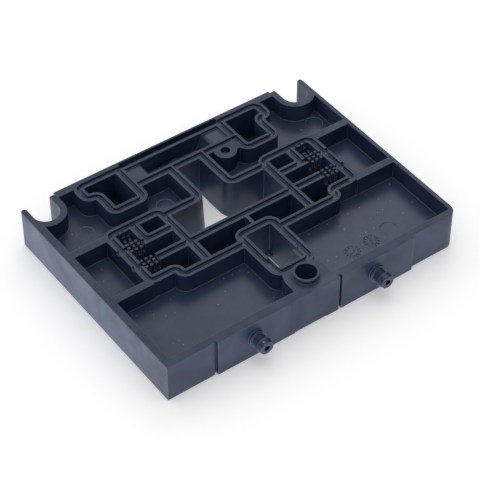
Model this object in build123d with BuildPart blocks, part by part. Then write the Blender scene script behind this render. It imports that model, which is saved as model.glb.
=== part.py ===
from build123d import *
import os

os.makedirs("parts", exist_ok=True)

# Body. The origin is the bottom centre of the box round everything, and +Y points to the notched back.
width = 100.0
depth = 74.8
height = 12.7

# Outer walls and the floor of the side pockets
left_wall = 2.4
right_wall = 1.2
front_wall = 3.1
back_wall = 2.4
floor_top = 6.9
floor_thickness = 1.9
pocket_draft = 1.0
opening_draft = 3.0

# Sealed walls. A seal groove runs along the middle of every one.
seal_wall = 3.0
groove_width = 1.4
groove_depth = 1.0
back_groove_width = 2.3
back_groove_depth = 2.2
bridge_width = 0.5
cell_floor = 1.4

# Centre lines of the sealed walls, as distances from the middle plane
end_x = 17.95
stem_x = 5.4
chamber_x = 5.8
lower_bend_x = 26.8
small_cell_x = 27.35
upper_cell_x = 28.4
filter_x = 35.4

# Centre lines of the sealed walls, from front to back
chamber_front_y = -23.7
lower_wall_y = -8.8
chamber_back_y = -5.1
cross_wall_y = 1.1
small_cell_front_y = 8.6
stem_foot_y = 14.0
small_cell_back_y = 16.1
upper_cell_front_y = 23.2
long_cell_front_y = 28.9
upper_bend_y = 31.9
back_groove_inset = 2.15

# Bends of the centre lines
inner_bend = 0.15
step_bend = seal_wall / 2 + inner_bend
corner_bend = 2.0

# Steps of the centre lines, each as long as its two bends and a short straight between them
upper_cell_step = 0.2
column_step = 0.1
upper_cell_outer_x = upper_cell_x + 2 * step_bend + upper_cell_step
column_front_y = lower_wall_y + 2 * step_bend + column_step

# Plain ribs
rib_width = 2.4
upper_rib_y = 15.25
lower_rib_y = -5.9
mid_web_width = 1.0
mid_web_x = 0.7

# Shelves at both ends of the long cell, and the ramps down to its middle
shelf_drop = 0.8
shelf_x = 11.0
ramp_foot_x = 8.8
ramp_round = 1.4

# Filter pins. They stand in the gaps of two walls and, shorter, in the cell between them.
pin_size = 0.75
pin_pitch = 1.6
pin_row_pitch = 1.4
pin_count = 3
pin_rows = 3
short_pin_rows = 2
pin_x = 31.6
pin_drop = 0.2
short_pin_drop = 2.2
short_pin_y = 12.4
gap_depth = 3.2
gap_inner_x = 28.7

# Slots through the inner land of the wall behind the pins
slot_pitch = 1.65
slot_width = 0.9
slot_depth = 2.2
slot_count = 3
slot_x = 31.2

# Screw notches in the back corners
notch_radius = 4.05
notch_rim = 2.0
notch_inset = 5.8
notch_from_back = 5.45
horn_setback = 1.0
horn_round = 0.8
corner_radius = 3.0
left_corner_radius = 0.8
shoulder_x = 38.3
shoulder_drop = 0.8

# Ring port beside the chamber
ring_bore = 3.1
ring_outer = 3.75
ring_rise = 1.4
ring_bore_floor = 3.0
pad_radius = 6.4
ring_from_front = 6.2

# Tube port in the floor of the long cell
port_outer = 2.6
port_bore = 1.5
port_top = 8.6
port_from_back = 7.1

# Half-round lug in the right middle pocket
lug_x = 12.2
lug_y = 25.8
lug_radius = 3.4
lug_hole = 1.5
lug_hole_depth = 2.0
lug_web_width = 4.5

# Rebate and ledge at the front end of the chamber
rebate_back_y = -17.6
rebate_depth = 1.0
ledge_back_y = -18.5
ledge_width = 1.2
ledge_drop = 0.5

# Ejector marks and the rings of the two date dials, all in the pocket floors
ejector_places = [(-36.8, 25.7), (45.0, 25.5), (-12.0, 22.0), (34.0, -23.5)]
ejector_radius = 2.6
dial_places = [(19.8, -24.8), (26.8, -24.5)]
dial_radius = 2.4
dial_core_radius = 1.5
mark_depth = 0.15

# Hose nozzles on the front
nozzle_length = 5.0
nozzle_z = 6.9
nozzle_places = (-21.5, 20.1)
nozzle_bore = 0.95
nozzle_tip = 2.05
nozzle_barb = 2.45
nozzle_neck = 1.95
collar_radius = 2.6
collar_length = 0.8
barb_length = 1.7

# Front panel, its slits and the relief along its bottom edge
left_end_step = 0.5
right_end_step = 0.9
panel_left_x = -34.4
panel_right_x = 33.3
slit_places = (-34.4, 7.4)
slit_width = 0.9
slit_depth = 1.1
relief_x = -2.7
relief_length = 11.0
relief_height = 0.3

# How far a cut runs on past a face
overcut = 1.0

total_depth = depth + nozzle_length
front_y = nozzle_length - total_depth / 2
back_y = front_y + depth
back_groove_y = back_y - back_groove_inset
ring_y = front_y + ring_from_front
notch_x = width / 2 - notch_inset
notch_y = back_y - notch_from_back
horn_width = width / 2 - notch_x - notch_radius
half_wall = seal_wall / 2
half_groove = groove_width / 2


def seal_paths():
    # centre lines of the sealed walls on the left half, each with the radii of its bends
    upper_cell = [
        (0, back_groove_y),
        (-upper_cell_outer_x, back_groove_y),
        (-upper_cell_outer_x, upper_bend_y),
        (-upper_cell_x, upper_bend_y),
        (-upper_cell_x, upper_cell_front_y),
        (-end_x, upper_cell_front_y),
        (-end_x, back_groove_y),
    ]
    long_cell = [(0, long_cell_front_y), (-end_x, long_cell_front_y)]
    window_stem = [(-stem_x, long_cell_front_y), (-stem_x, stem_foot_y), (-end_x, stem_foot_y)]
    small_cell = [
        (-small_cell_x, small_cell_back_y),
        (-small_cell_x, small_cell_front_y),
        (-end_x, small_cell_front_y),
    ]
    small_cell_front = [(-filter_x - half_wall, small_cell_front_y), (-end_x, small_cell_front_y)]
    filter_block = [
        (-end_x, lower_wall_y),
        (-end_x, small_cell_back_y),
        (-filter_x, small_cell_back_y),
        (-filter_x, column_front_y),
        (-lower_bend_x, column_front_y),
        (-lower_bend_x, lower_wall_y),
        (-chamber_x, lower_wall_y),
    ]
    cross_wall = [(0, cross_wall_y), (-filter_x - half_wall, cross_wall_y)]
    chamber = [
        (0, chamber_back_y),
        (-chamber_x, chamber_back_y),
        (-chamber_x, chamber_front_y),
        (0, chamber_front_y),
    ]
    return [
        (upper_cell, [corner_bend, step_bend, step_bend, step_bend, corner_bend]),
        (long_cell, []),
        (window_stem, [corner_bend]),
        (small_cell, [corner_bend]),
        (small_cell_front, []),
        (filter_block, [corner_bend, corner_bend, step_bend, step_bend, step_bend]),
        (cross_wall, []),
        (chamber, [corner_bend, corner_bend]),
    ]


def mirror_x(points):
    return [(-x, y) for x, y in points]


def seal_bands(band_width):
    # all the sealed walls, or their grooves, as bands along the centre lines
    with BuildSketch() as bands:
        for points, radii in seal_paths():
            for side in (points, mirror_x(points)):
                with BuildLine():
                    if radii:
                        FilletPolyline(*side, radius=radii)
                    else:
                        Polyline(*side)
                trace(line_width=band_width)
    return bands.sketch


def block(x0, x1, y0, y1, mode=Mode.ADD):
    # a rectangle given by its four sides
    with Locations(((x0 + x1) / 2, (y0 + y1) / 2)):
        Rectangle(x1 - x0, y1 - y0, mode=mode)


def both_sides(areas):
    return areas + [(-x1, -x0, y0, y1) for x0, x1, y0, y1 in areas]


def cell_areas():
    return both_sides(
        [
            (-upper_cell_outer_x, -end_x, upper_bend_y, back_groove_y),
            (-upper_cell_x, -end_x, upper_cell_front_y, upper_bend_y),
            (-filter_x, -end_x, column_front_y, small_cell_back_y),
            (-lower_bend_x, -end_x, lower_wall_y, column_front_y),
            (-end_x, 0, lower_wall_y, cross_wall_y),
        ]
    )


def window_areas():
    return [
        (-end_x, end_x, cross_wall_y, stem_foot_y),
        (-stem_x, stem_x, stem_foot_y, long_cell_front_y),
    ]


def long_cell_area(half_length):
    return [(-half_length, half_length, long_cell_front_y, back_groove_y)]


def chamber_area():
    return [(-chamber_x, chamber_x, chamber_front_y, chamber_back_y)]


def between_walls(areas):
    # what is left of the given areas once the sealed walls are taken out
    with BuildSketch() as ground:
        for area in areas:
            block(*area)
        add(seal_bands(seal_wall), mode=Mode.SUBTRACT)
    return ground.sketch


def body_plan():
    # outline seen from above: stepped front, shouldered back, two screw notches with thin horns
    left_front = front_y + left_end_step
    right_front = front_y + right_end_step
    with BuildSketch() as plan:
        block(-width / 2, width / 2, left_front, back_y)
        block(panel_right_x, width / 2, left_front, right_front, Mode.SUBTRACT)
        corners = plan.vertices().sort_by(Axis.Y)
        fillet(corners.filter_by_position(Axis.X, width / 2, width / 2)[0], radius=corner_radius)
        fillet(corners.filter_by_position(Axis.X, -width / 2, -width / 2)[0], radius=left_corner_radius)
        block(panel_left_x, panel_right_x, front_y, left_front)
        for side in (-1, 1):
            with Locations((side * notch_x, notch_y)):
                Circle(notch_radius, mode=Mode.SUBTRACT)
            notch_sides = sorted((side * (notch_x - notch_radius), side * (notch_x + notch_radius)))
            block(*notch_sides, notch_y, back_y, Mode.SUBTRACT)
            shoulder = sorted((side * shoulder_x, side * (notch_x - notch_radius)))
            block(*shoulder, back_y - shoulder_drop, back_y, Mode.SUBTRACT)
            horn = sorted((side * (notch_x + notch_radius), side * width / 2))
            block(*horn, back_y - horn_setback, back_y, Mode.SUBTRACT)
        horn_tips = plan.vertices().filter_by_position(Axis.Y, back_y - horn_setback, back_y - horn_setback)
        fillet(horn_tips, radius=min(horn_round, horn_width * 0.49))
    return plan.sketch


def open_pockets(rims):
    # the side pockets: everything inside the outer walls that no wall, rim, rib or pad stands on
    inner_left = -width / 2 + left_wall
    inner_right = width / 2 - right_wall
    with BuildSketch() as pockets:
        block(inner_left, inner_right, front_y + front_wall, back_y - back_wall)
        add(seal_bands(seal_wall), mode=Mode.SUBTRACT)
        for area in cell_areas() + window_areas() + long_cell_area(end_x) + chamber_area():
            block(*area, Mode.SUBTRACT)
        for side in (-1, 1):
            with Locations((side * notch_x, notch_y)):
                Circle(notch_radius + rims, mode=Mode.SUBTRACT)
            beside = sorted((side * (notch_x - notch_radius - rims), side * width / 2))
            block(*beside, notch_y, back_y, Mode.SUBTRACT)
            rib_ends = sorted((side * filter_x, side * width / 2))
            for rib_y in (upper_rib_y, lower_rib_y):
                block(*rib_ends, rib_y - rib_width / 2, rib_y + rib_width / 2, Mode.SUBTRACT)
        with Locations((0, ring_y)):
            Circle(pad_radius, mode=Mode.SUBTRACT)
        block(-pad_radius, pad_radius, front_y, ring_y, Mode.SUBTRACT)
    return pockets.sketch


def land_bridges():
    # the short stretches of land that part one groove from the next
    land_end = end_x + half_wall
    stem_land_x = stem_x + half_groove
    lower_land_y = lower_wall_y + half_wall
    end_groove = (-end_x - half_groove, -end_x + half_groove)
    areas = both_sides([(*end_groove, lower_wall_y + half_groove, lower_land_y)])
    for wall_y in (cross_wall_y, small_cell_front_y):
        areas.append((end_x + half_groove, land_end, wall_y - half_groove, wall_y + half_groove))
    for bridge_x in (-end_x + half_groove, -stem_x + half_groove, stem_land_x):
        front_land = (bridge_x, bridge_x + bridge_width)
        areas.append((*front_land, long_cell_front_y - half_groove, long_cell_front_y + half_groove))
    bridge_y = long_cell_front_y + half_groove
    areas.append((end_x - half_groove, end_x + half_groove, bridge_y, bridge_y + bridge_width))
    return areas


def cut_down(sketch, top, bottom, draft):
    # a pocket, narrower at its floor where it has a draft
    for face in sketch.faces():
        placed = face.moved(Location((0, 0, top)))
        extrude(placed, amount=top - bottom, dir=(0, 0, -1), taper=draft, mode=Mode.SUBTRACT)


def pin_plan(centre_y, rows):
    # square filter pins in rows, on both sides of the part
    with BuildSketch(Plane.XY.offset(cell_floor)) as pins:
        with Locations((-pin_x, centre_y), (pin_x, centre_y)):
            with GridLocations(pin_pitch, pin_row_pitch, pin_count, rows):
                Rectangle(pin_size, pin_size)
    return pins.sketch


with BuildPart() as housing:
    add(body_plan())
    extrude(amount=height)

    # side pockets from above and below, with the floor between them
    cut_down(open_pockets(notch_rim), height, floor_top, pocket_draft)
    cut_down(open_pockets(notch_rim), floor_top - floor_thickness, 0, 0)

    # deep cells, and the two places that go right through
    cut_down(between_walls(cell_areas()), height, cell_floor, 0)
    cut_down(between_walls(window_areas() + chamber_area()), height, 0, opening_draft)

    # long cell: a shelf at each end, a ramp, and the deep middle
    cut_down(between_walls(long_cell_area(end_x)), height, height - shelf_drop, 0)
    cut_down(between_walls(long_cell_area(ramp_foot_x)), height, floor_top, 0)
    for side in (-1, 1):
        ramp_plane = Plane(origin=(0, back_groove_y - half_wall, 0), x_dir=(1, 0, 0), z_dir=(0, -1, 0))
        with BuildSketch(ramp_plane) as ramp:
            with BuildLine():
                Polyline(
                    (0, floor_top),
                    (side * ramp_foot_x, floor_top),
                    (side * shelf_x, height - shelf_drop),
                    (side * (shelf_x + ramp_round), height - shelf_drop),
                    (side * (shelf_x + ramp_round), height),
                    (0, height),
                    close=True,
                )
            make_face()
            crest = ramp.vertices().sort_by_distance((side * shelf_x, height - shelf_drop, 0))[0]
            fillet(crest, radius=ramp_round)
        extrude(amount=back_groove_y - long_cell_front_y - seal_wall, mode=Mode.SUBTRACT)

    # web between the two lower middle cells
    with BuildSketch(Plane.XY.offset(cell_floor)):
        block(mid_web_x - mid_web_width / 2, mid_web_x + mid_web_width / 2, chamber_back_y, cross_wall_y)
    extrude(amount=height - cell_floor)

    # lug with its hole
    with BuildSketch(Plane.XY.offset(floor_top)):
        with Locations((lug_x, lug_y)):
            Circle(lug_radius)
        block(lug_x, end_x, long_cell_front_y - lug_web_width, long_cell_front_y)
    extrude(amount=height - floor_top)
    with Locations((lug_x, lug_y, height)):
        Hole(lug_hole, depth=lug_hole_depth)

    # ring port
    with BuildSketch(Plane.XY.offset(floor_top)):
        with Locations((0, ring_y)):
            Circle(ring_outer)
    extrude(amount=height + ring_rise - floor_top)

    # tube port in the long cell
    with BuildSketch(Plane.XY.offset(floor_top)):
        with Locations((0, back_y - port_from_back)):
            Circle(port_outer)
    extrude(amount=port_top - floor_top)
    with Locations((0, back_y - port_from_back, port_top)):
        Hole(port_bore)

    # gaps for the filter pins in the two cross walls of each column
    with BuildSketch(Plane.XY.offset(height)):
        for wall_y in (cross_wall_y, small_cell_front_y):
            gap = (-filter_x + half_wall, -gap_inner_x, wall_y - half_wall, wall_y + half_wall)
            for area in both_sides([gap]):
                block(*area)
    extrude(amount=-gap_depth, mode=Mode.SUBTRACT)

    # seal groove in the top of every sealed wall, broken by the land bridges, and the wide one at the back
    with BuildSketch(Plane.XY.offset(height)):
        add(seal_bands(groove_width))
        for area in land_bridges():
            block(*area, Mode.SUBTRACT)
    extrude(amount=-groove_depth, mode=Mode.SUBTRACT)
    with BuildSketch(Plane.XY.offset(height)):
        back_groove_front_y = back_groove_y - half_groove
        back_groove_left_x = -end_x + half_groove + bridge_width
        block(back_groove_left_x, end_x, back_groove_front_y, back_groove_front_y + back_groove_width)
    extrude(amount=-back_groove_depth, mode=Mode.SUBTRACT)

    # rebate in the left land of the chamber and a ledge in its front right corner
    inner_x = chamber_x - half_wall
    inner_y = chamber_front_y + half_wall
    with BuildSketch(Plane.XY.offset(height)):
        block(-chamber_x, -inner_x, inner_y - half_groove, rebate_back_y)
        block(inner_x, chamber_x, inner_y, ledge_back_y)
    extrude(amount=-rebate_depth, mode=Mode.SUBTRACT)
    with BuildSketch():
        block(inner_x - ledge_width, chamber_x - half_groove, inner_y, ledge_back_y)
    extrude(amount=height - ledge_drop)

    with Locations((0, ring_y, height + ring_rise)):
        Hole(ring_bore, depth=height + ring_rise - ring_bore_floor)

    # filter pins, and the slots behind them
    for wall_y in (cross_wall_y, small_cell_front_y):
        extrude(pin_plan(wall_y, pin_rows), amount=height - pin_drop - cell_floor, dir=(0, 0, 1))
    short_pins = pin_plan(short_pin_y, short_pin_rows)
    extrude(short_pins, amount=height - short_pin_drop - cell_floor, dir=(0, 0, 1))
    with BuildSketch(Plane.XY.offset(height)):
        slot_y = small_cell_back_y - (half_wall + half_groove) / 2
        with Locations((-slot_x, slot_y), (slot_x, slot_y)):
            with GridLocations(slot_pitch, 1, slot_count, 1):
                Rectangle(slot_width, half_wall - half_groove)
    extrude(amount=-slot_depth, mode=Mode.SUBTRACT)

    # hose nozzles
    for nozzle_x in nozzle_places:
        with BuildSketch(Plane(origin=(nozzle_x, front_y, nozzle_z), x_dir=(0, -1, 0), z_dir=(1, 0, 0))):
            with BuildLine():
                Polyline(
                    (-front_wall / 2, 0),
                    (-front_wall / 2, collar_radius),
                    (collar_length, collar_radius),
                    (collar_length, nozzle_neck),
                    (nozzle_length - barb_length, nozzle_neck),
                    (nozzle_length - barb_length, nozzle_barb),
                    (nozzle_length, nozzle_tip),
                    (nozzle_length, 0),
                    close=True,
                )
            make_face()
        revolve(axis=Axis((nozzle_x, front_y, nozzle_z), (0, -1, 0)))
        with Locations(Location((nozzle_x, front_y - nozzle_length, nozzle_z), (90, 0, 0))):
            Hole(nozzle_bore, depth=nozzle_length + front_wall + overcut)

    # slits in the front and the relief under it
    with BuildSketch():
        for slit_x in slit_places:
            block(slit_x - slit_width / 2, slit_x + slit_width / 2, front_y - overcut, front_y + slit_depth)
    extrude(amount=height, mode=Mode.SUBTRACT)
    with BuildSketch():
        block(relief_x - relief_length / 2, relief_x + relief_length / 2, front_y, front_y + front_wall)
    extrude(amount=relief_height, mode=Mode.SUBTRACT)

    # ejector marks and date dials in the floors
    with BuildSketch(Plane.XY.offset(floor_top)):
        with Locations(*ejector_places):
            Circle(ejector_radius)
        with Locations(*dial_places):
            Circle(dial_radius)
            Circle(dial_core_radius, mode=Mode.SUBTRACT)
    extrude(amount=-mark_depth, mode=Mode.SUBTRACT)

housing.part.label = "housing"
export_step(housing.part, "parts/housing.step")
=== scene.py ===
import bpy
import math
from mathutils import Matrix, Vector


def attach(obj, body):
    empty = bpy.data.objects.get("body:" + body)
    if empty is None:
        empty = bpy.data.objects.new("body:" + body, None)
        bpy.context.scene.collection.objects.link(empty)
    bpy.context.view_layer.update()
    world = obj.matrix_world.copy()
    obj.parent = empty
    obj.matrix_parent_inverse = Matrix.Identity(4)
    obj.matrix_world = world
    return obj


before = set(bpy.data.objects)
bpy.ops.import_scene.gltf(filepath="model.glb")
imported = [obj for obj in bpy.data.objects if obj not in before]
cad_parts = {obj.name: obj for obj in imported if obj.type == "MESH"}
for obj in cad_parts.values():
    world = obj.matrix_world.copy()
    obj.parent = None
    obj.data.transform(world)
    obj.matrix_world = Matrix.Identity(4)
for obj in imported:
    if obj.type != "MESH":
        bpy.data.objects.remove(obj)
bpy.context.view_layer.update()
print("frame loaded", sorted(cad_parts))


def mm(value):
    return value / 1000


def hexToLinear(code):
    parts = [int(code[i:i + 2], 16) / 255 for i in (1, 3, 5)]
    return [c / 12.92 if c <= 0.04045 else ((c + 0.055) / 1.055) ** 2.4 for c in parts] + [1.0]


# adds one node, with its settings and what feeds its sockets; a node given there is linked by its first output
def addNode(tree, kind, settings=None, inputs=None):
    node = tree.nodes.new(kind)
    for name, value in (settings or {}).items():
        setattr(node, name, value)
    for socket, value in (inputs or {}).items():
        if isinstance(value, bpy.types.Node):
            value = value.outputs[0]
        if isinstance(value, bpy.types.NodeSocket):
            tree.links.new(value, node.inputs[socket])
        else:
            node.inputs[socket].default_value = value
    return node


def newMaterial(name):
    material = bpy.data.materials.new(name)
    material.use_nodes = True
    material.node_tree.nodes.clear()
    return material, material.node_tree


# Housing: glass-filled polyamide, injection moulded in a spark-eroded tool: dark blue-grey and satin, clouded
# where hands and the melt's flow have left it glossier, with a painted highlight along edges, side faces
# painted lighter than level ones for the light they catch, and dust on the floors of its pockets. Sizes are in
# millimetres.
glassFilledPolyamide = {
    "colour": "#3a4a67",
    "cloudColour": "#32405c",
    "cloudSize": 13.0,
    "cloudRange": (0.38, 0.62),
    "smearSize": 3.6,
    "smearShare": 0.45,
    # painted light: side faces are given a lighter colour than level faces
    "paintedSideLightColour": "#3f5274",
    "sideCloudColour": "#27385a",
    "sideCloudSize": 17.0,
    "sideCloudRange": (0.37, 0.61),
    "sideCloudShift": (-55.0, -40.0, 21.0),
    "levelFrom": 0.5,  # a face counts as level when its normal's height is above this
    "noiseDetail": 3.0,
    "noiseTwist": 0.6,
    "roughness": 0.44,
    "roughnessSwing": 0.14,
    "roughnessRange": (0.35, 0.65),
    "floorRoughness": 0.35,
    "ior": 1.5,
    "grainSize": 0.55,  # the real grain is nearer 0.05, too fine to see, so it is drawn coarser
    "grainDepth": 0.016,
    # painted highlight: the paler colour laid along edges and the feet of walls
    "edgeHighlightColour": "#8593a8",
    "edgeRadius": 0.36,
    "edgeHighlightShare": 0.85,
    "edgeHighlightRange": (0.995, 0.85),
    "edgeSamples": 8,
    "dustColour": "#8c97a8",
    "dustSpacing": 2.3,
    "dustRadius": 0.2,
    "dustShare": 0.85,
    "dustDrift": 11.0,
    "dustDriftRange": (0.40, 0.68),
    "dustCeiling": 12.0,
}


def makeGlassFilledPolyamide():
    p = glassFilledPolyamide
    material, tree = newMaterial("glassFilledPolyamide")
    place = addNode(tree, "ShaderNodeTexCoord").outputs["Object"]
    shifted = addNode(tree, "ShaderNodeVectorMath", {"operation": "ADD"}, {
        0: place,
        1: [mm(v) for v in p["sideCloudShift"]],
    })
    noise = {}
    for name, at in (("cloudSize", place), ("smearSize", place), ("sideCloudSize", shifted),
                     ("dustDrift", place), ("grainSize", place)):
        noise[name] = addNode(tree, "ShaderNodeTexNoise", {}, {
            "Vector": at,
            "Scale": 1 / mm(p[name]),
            "Detail": p["noiseDetail"],
            "Distortion": p["noiseTwist"],
        }).outputs["Fac"]

    # level faces: large clouds with smaller smears in them
    smears = addNode(tree, "ShaderNodeMath", {"operation": "MULTIPLY"}, {
        0: noise["smearSize"],
        1: p["smearShare"],
    })
    clouds = addNode(tree, "ShaderNodeMath", {"operation": "MULTIPLY"}, {
        0: noise["cloudSize"],
        1: 1 - p["smearShare"],
    })
    cloudy = addNode(tree, "ShaderNodeMath", {"operation": "ADD"}, {0: smears, 1: clouds})
    cloudLow, cloudHigh = p["cloudRange"]
    patchy = addNode(tree, "ShaderNodeMapRange", {}, {
        "Value": cloudy,
        "From Min": cloudLow,
        "From Max": cloudHigh,
    })
    levelTone = addNode(tree, "ShaderNodeMix", {"data_type": "RGBA"}, {
        "Factor": patchy,
        6: hexToLinear(p["cloudColour"]),
        7: hexToLinear(p["colour"]),
    }).outputs[2]

    # side faces: painted light, a lighter colour than the level faces for the light they catch from the floor
    # and the left, with darker patches larger than the level ones
    sideLow, sideHigh = p["sideCloudRange"]
    rubbed = addNode(tree, "ShaderNodeMapRange", {}, {
        "Value": noise["sideCloudSize"],
        "From Min": sideLow,
        "From Max": sideHigh,
    })
    paintedSideLightTone = addNode(tree, "ShaderNodeMix", {"data_type": "RGBA"}, {
        "Factor": rubbed,
        6: hexToLinear(p["sideCloudColour"]),
        7: hexToLinear(p["paintedSideLightColour"]),
    }).outputs[2]
    facing = addNode(tree, "ShaderNodeNewGeometry").outputs["Normal"]
    up = addNode(tree, "ShaderNodeSeparateXYZ", {}, {"Vector": facing}).outputs["Z"]
    level = addNode(tree, "ShaderNodeMath", {"operation": "GREATER_THAN"}, {0: up, 1: p["levelFrom"]})
    # level faces take the level colour, side faces the lighter painted-light colour
    faceTone = addNode(tree, "ShaderNodeMix", {"data_type": "RGBA"}, {
        "Factor": level,
        6: paintedSideLightTone,
        7: levelTone,
    }).outputs[2]

    # painted highlight: where the rounded normal leaves the flat one, on outer edges and at the feet of walls,
    # the colour is paler, standing in for the light that rounded edges and fillets catch
    rounded = addNode(tree, "ShaderNodeBevel", {"samples": p["edgeSamples"]}, {"Radius": mm(p["edgeRadius"])})
    turned = addNode(tree, "ShaderNodeVectorMath", {"operation": "DOT_PRODUCT"}, {
        0: facing,
        1: rounded,
    }).outputs["Value"]
    edgeStart, edgeFull = p["edgeHighlightRange"]
    edge = addNode(tree, "ShaderNodeMapRange", {}, {
        "Value": turned,
        "From Min": edgeStart,
        "From Max": edgeFull,
        "To Max": p["edgeHighlightShare"],
    })
    # the painted highlight is mixed in over the face colour
    highlightedTone = addNode(tree, "ShaderNodeMix", {"data_type": "RGBA"}, {
        "Factor": edge,
        6: faceTone,
        7: hexToLinear(p["edgeHighlightColour"]),
    }).outputs[2]

    # dust: specks on level faces below the tops of the walls, thicker where they drift together
    cells = addNode(tree, "ShaderNodeTexVoronoi", {"voronoi_dimensions": "2D"}, {
        "Vector": place,
        "Scale": 1 / mm(p["dustSpacing"]),
    })
    pick = addNode(tree, "ShaderNodeSeparateColor", {}, {"Color": cells.outputs["Color"]})
    reach = addNode(tree, "ShaderNodeMath", {"operation": "MULTIPLY"}, {
        0: pick.outputs[1],
        1: p["dustRadius"] / p["dustSpacing"],
    })
    near = addNode(tree, "ShaderNodeMath", {"operation": "LESS_THAN"}, {
        0: cells.outputs["Distance"],
        1: reach,
    })
    driftLow, driftHigh = p["dustDriftRange"]
    drift = addNode(tree, "ShaderNodeMapRange", {}, {
        "Value": noise["dustDrift"],
        "From Min": driftLow,
        "From Max": driftHigh,
        "To Max": p["dustShare"],
    })
    chosen = addNode(tree, "ShaderNodeMath", {"operation": "LESS_THAN"}, {0: pick.outputs[0], 1: drift})
    height = addNode(tree, "ShaderNodeSeparateXYZ", {}, {"Vector": place}).outputs["Z"]
    low = addNode(tree, "ShaderNodeMath", {"operation": "LESS_THAN"}, {0: height, 1: mm(p["dustCeiling"])})
    pocketFloor = addNode(tree, "ShaderNodeMath", {"operation": "MULTIPLY"}, {0: level, 1: low})
    speck = addNode(tree, "ShaderNodeMath", {"operation": "MULTIPLY"}, {0: near, 1: chosen})
    dust = addNode(tree, "ShaderNodeMath", {"operation": "MULTIPLY"}, {0: speck, 1: pocketFloor})
    tone = addNode(tree, "ShaderNodeMix", {"data_type": "RGBA"}, {
        "Factor": dust,
        6: highlightedTone,
        7: hexToLinear(p["dustColour"]),
    }).outputs[2]

    # the clouds are glossier, and the pocket floors are glossier and even
    half = p["roughnessSwing"] / 2
    glossLow, glossHigh = p["roughnessRange"]
    wallRoughness = addNode(tree, "ShaderNodeMapRange", {}, {
        "Value": cloudy,
        "From Min": glossLow,
        "From Max": glossHigh,
        "To Min": p["roughness"] + half,
        "To Max": p["roughness"] - half,
    })
    roughness = addNode(tree, "ShaderNodeMix", {"data_type": "FLOAT"}, {
        "Factor": pocketFloor,
        "A": wallRoughness,
        "B": p["floorRoughness"],
    })
    grain = addNode(tree, "ShaderNodeBump", {}, {
        "Height": noise["grainSize"],
        "Distance": mm(p["grainDepth"]),
        "Normal": rounded,
    })
    surface = addNode(tree, "ShaderNodeBsdfPrincipled", {}, {
        "Base Color": tone,
        "Roughness": roughness,
        "IOR": p["ior"],
        "Normal": grain,
    })
    addNode(tree, "ShaderNodeOutputMaterial", {}, {"Surface": surface})
    return material


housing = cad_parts["housing"]
polyamide = makeGlassFilledPolyamide()
housing.data.materials.clear()
housing.data.materials.append(polyamide)
print("housing finished")


# Date dials: the ticks that stand in each dial's ring and the bar across its middle, in millimetres, with the
# bars' turns in degrees
dialMarks = {
    "places": [(19.8, -24.8), (26.8, -24.5)],
    "floor": 6.75,
    "height": 0.15,
    "ticks": 12,
    "tickInner": 1.65,
    "tickLength": 0.55,
    "tickWidth": 0.2,
    "barLength": 2.0,
    "barWidth": 0.4,
    "barTurns": [25, 70],
}


# adds the corners and faces of one bar, from inner to inner + length along a line out of the dial's middle
def addBar(corners, faces, middle, turn, inner, length, width, floor, height):
    first = len(corners)
    along = Vector((math.cos(turn), math.sin(turn)))
    across = Vector((-along.y, along.x)) * width / 2
    for z in (floor, floor + height):
        for reach, side in ((inner, -1), (inner + length, -1), (inner + length, 1), (inner, 1)):
            spot = Vector(middle) + along * reach + across * side
            corners.append((mm(spot.x), mm(spot.y), mm(z)))
    for face in ((3, 2, 1, 0), (4, 5, 6, 7), (0, 1, 5, 4), (1, 2, 6, 5), (2, 3, 7, 6), (3, 0, 4, 7)):
        faces.append([first + i for i in face])


def makeDialMarks():
    p = dialMarks
    corners, faces = [], []
    for middle, barTurn in zip(p["places"], p["barTurns"]):
        for i in range(p["ticks"]):
            turn = math.tau * i / p["ticks"]
            addBar(corners, faces, middle, turn, p["tickInner"], p["tickLength"], p["tickWidth"],
                   p["floor"], p["height"])
        addBar(corners, faces, middle, math.radians(barTurn), -p["barLength"] / 2, p["barLength"],
               p["barWidth"], p["floor"] + p["height"], p["height"])
    mesh = bpy.data.meshes.new("dialMarks")
    mesh.from_pydata(corners, [], faces)
    mesh.materials.append(polyamide)
    marks = bpy.data.objects.new("dialMarks", mesh)
    bpy.context.collection.objects.link(marks)
    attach(marks, "root")


makeDialMarks()
print("dial marks laid")


# Floor: a light table of cast acrylic, sanded matt: pale and even. It glows a little, more on the part's left.
# The camera sees it brighter than the part does, so it shows as plain white, with a contact shadow painted
# round the part from ambient occlusion, on top of the lamps' own. The size is in metres, the rest in
# millimetres.
lightTable = {
    "size": 6.0,
    "drop": 0.05,  # just clear of the part's underside, so the two faces do not flicker
    "colour": "#e6e6e6",
    "glow": 0.52,
    "glowLeft": 0.98,
    "glowTowards": (-0.94, 0.34, 0.0),
    "glowRange": (15.0, 50.0),
    "glowSeen": 0.63,
    # painted shadow: how far, and how deep, the camera's white is darkened next to the part
    "paintedShadowDepth": 0.45,
    "paintedShadowReach": 40.0,
    "paintedShadowSamples": 8,
}


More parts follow.
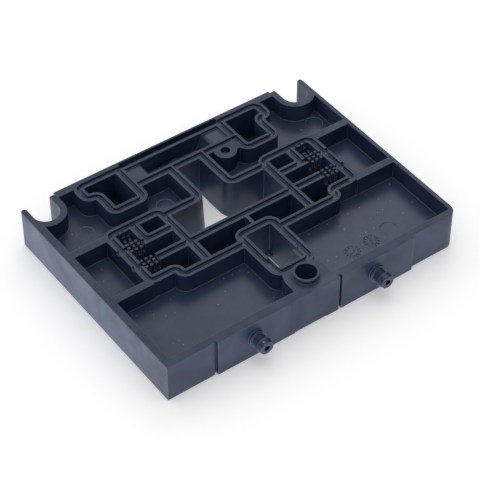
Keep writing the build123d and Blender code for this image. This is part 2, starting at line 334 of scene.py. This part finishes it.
def makeFloor():
    p = lightTable
    half = p["size"] / 2
    corners = [(-half, -half, 0), (half, -half, 0), (half, half, 0), (-half, half, 0)]
    mesh = bpy.data.meshes.new("lightTable")
    mesh.from_pydata(corners, [], [(0, 1, 2, 3)])
    sheet = bpy.data.objects.new("lightTable", mesh)
    bpy.context.collection.objects.link(sheet)
    sheet.location.z = -mm(p["drop"])
    material, tree = newMaterial("paleAcrylic")

    # what lights the part
    place = addNode(tree, "ShaderNodeTexCoord").outputs["Object"]
    leftward = addNode(tree, "ShaderNodeVectorMath", {"operation": "DOT_PRODUCT"}, {
        0: place,
        1: p["glowTowards"],
    }).outputs["Value"]
    glowFrom, glowTo = p["glowRange"]
    lit = addNode(tree, "ShaderNodeMapRange", {}, {
        "Value": leftward,
        "From Min": mm(glowFrom),
        "From Max": mm(glowTo),
        "To Min": p["glow"],
        "To Max": p["glowLeft"],
    })

    # what the camera sees: plain white, with a contact shadow painted in where ambient occlusion finds the
    # part near
    openness = addNode(tree, "ShaderNodeAmbientOcclusion", {"samples": p["paintedShadowSamples"]}, {
        "Distance": mm(p["paintedShadowReach"]),
    }).outputs["AO"]
    shown = addNode(tree, "ShaderNodeMapRange", {}, {
        "Value": openness,
        "To Min": p["glowSeen"] - p["paintedShadowDepth"],
        "To Max": p["glowSeen"],
    })
    strength = addNode(tree, "ShaderNodeMix", {"data_type": "FLOAT"}, {
        "Factor": addNode(tree, "ShaderNodeLightPath").outputs["Is Camera Ray"],
        "A": lit,
        "B": shown,
    })
    matt = addNode(tree, "ShaderNodeBsdfDiffuse", {}, {"Color": hexToLinear(p["colour"])})
    glow = addNode(tree, "ShaderNodeEmission", {}, {"Strength": strength})
    both = addNode(tree, "ShaderNodeAddShader", {}, {0: matt, 1: glow})
    addNode(tree, "ShaderNodeOutputMaterial", {}, {"Surface": both})
    mesh.materials.append(material)


makeFloor()
print("floor laid")


# Studio: soft panels round the table, with azimuth, half width, heights and the blur of their edges in
# degrees, and one lamp high at the back right that casts the shadows, in metres. The camera sees the room
# behind as white.
softPanels = [
    {"azimuth": 0, "halfWidth": 180, "heights": (66, 90), "strength": 1.9},
    {"azimuth": 90, "halfWidth": 45, "heights": (22, 58), "strength": 0.92},
    {"azimuth": 180, "halfWidth": 45, "heights": (22, 58), "strength": 0.4},
    {"azimuth": 270, "halfWidth": 45, "heights": (22, 58), "strength": 0.3},
    {"azimuth": 180, "halfWidth": 45, "heights": (0, 22), "strength": 0.5},
    {"azimuth": 90, "halfWidth": 45, "heights": (0, 22), "strength": 0.27},
]
studioRoom = {"panelBlur": 3.0, "zenith": 90, "fullTurn": 180, "seen": 1.0}
shadowLamp = {"watts": 1.14, "size": 0.5, "towards": (0.533, 0.446, 0.719), "away": 1.1}


# how much of one panel a direction meets, from 0 to 1; up is the direction's height, around its level part
def makePanel(tree, up, around, panel):
    blur = math.radians(studioRoom["panelBlur"])
    azimuth = math.radians(panel["azimuth"])
    facing = addNode(tree, "ShaderNodeVectorMath", {"operation": "DOT_PRODUCT"}, {
        0: around,
        1: (math.cos(azimuth), math.sin(azimuth), 0),
    }).outputs["Value"]
    bottom, top = panel["heights"]
    edges = [(up, math.sin(math.radians(bottom)), None)]
    if top < studioRoom["zenith"]:
        edges.append((up, math.sin(math.radians(top)), "SUBTRACT"))
    if panel["halfWidth"] < studioRoom["fullTurn"]:
        edges.append((facing, math.cos(math.radians(panel["halfWidth"])), "MULTIPLY"))
    shape = None
    for value, edge, joining in edges:
        step = addNode(tree, "ShaderNodeMapRange", {"interpolation_type": "SMOOTHSTEP"}, {
            "Value": value,
            "From Min": edge - blur,
            "From Max": edge + blur,
        })
        if joining:
            step = addNode(tree, "ShaderNodeMath", {"operation": joining}, {0: shape, 1: step})
        shape = step
    return shape


def makeStudio():
    world = bpy.data.worlds.new("studioRoom")
    bpy.context.scene.world = world
    world.use_nodes = True
    tree = world.node_tree
    tree.nodes.clear()
    towards = addNode(tree, "ShaderNodeTexCoord").outputs["Generated"]
    up = addNode(tree, "ShaderNodeSeparateXYZ", {}, {"Vector": towards}).outputs["Z"]
    flat = addNode(tree, "ShaderNodeVectorMath", {"operation": "MULTIPLY"}, {0: towards, 1: (1, 1, 0)})
    around = addNode(tree, "ShaderNodeVectorMath", {"operation": "NORMALIZE"}, {0: flat})
    total = 0.0
    for panel in softPanels:
        total = addNode(tree, "ShaderNodeMath", {"operation": "MULTIPLY_ADD"}, {
            0: makePanel(tree, up, around, panel),
            1: panel["strength"],
            2: total,
        })
    shown = addNode(tree, "ShaderNodeMix", {"data_type": "FLOAT"}, {
        "Factor": addNode(tree, "ShaderNodeLightPath").outputs["Is Camera Ray"],
        "A": total,
        "B": studioRoom["seen"],
    })
    room = addNode(tree, "ShaderNodeBackground", {}, {"Strength": shown})
    addNode(tree, "ShaderNodeOutputWorld", {}, {"Surface": room})

    p = shadowLamp
    lamp = bpy.data.lights.new("shadowLamp", "AREA")
    lamp.shape = "SQUARE"
    lamp.size = p["size"]
    lamp.energy = p["watts"]
    key = bpy.data.objects.new("shadowLamp", lamp)
    bpy.context.collection.objects.link(key)
    aim = Vector(p["towards"]).normalized()
    key.location = aim * p["away"]
    key.rotation_euler = aim.to_track_quat("Z", "Y").to_euler()


makeStudio()
print("studio lit")


# Camera: angles in degrees, the rest in millimetres
cameraView = {
    "azimuth": -36.249,
    "elevation": 44.427,
    "roll": 0.142,
    "away": 522.477,
    "lookAt": (1.10, 3.377, 0.0),
    "lens": 135.954,
    "sensor": 36,
    "nearest": 10,
}


def makeCamera():
    p = cameraView
    az, el, roll = (math.radians(p[k]) for k in ("azimuth", "elevation", "roll"))
    back = Vector((math.sin(az) * math.cos(el), -math.cos(az) * math.cos(el), math.sin(el)))
    right = Vector((math.cos(az), math.sin(az), 0))
    up = back.cross(right)
    rightRolled = right * math.cos(roll) + up * math.sin(roll)
    upRolled = up * math.cos(roll) - right * math.sin(roll)
    lens = bpy.data.cameras.new("studioCamera")
    lens.lens = p["lens"]
    lens.sensor_width = p["sensor"]
    lens.clip_start = mm(p["nearest"])
    camera = bpy.data.objects.new("studioCamera", lens)
    bpy.context.collection.objects.link(camera)
    place = mm(Vector(p["lookAt"]) + back * p["away"])
    camera.matrix_world = Matrix((
        (rightRolled.x, upRolled.x, back.x, place.x),
        (rightRolled.y, upRolled.y, back.y, place.y),
        (rightRolled.z, upRolled.z, back.z, place.z),
        (0, 0, 0, 1),
    ))
    bpy.context.scene.camera = camera


makeCamera()
print("camera set")
bpy.context.scene.view_settings.view_transform = "Standard"
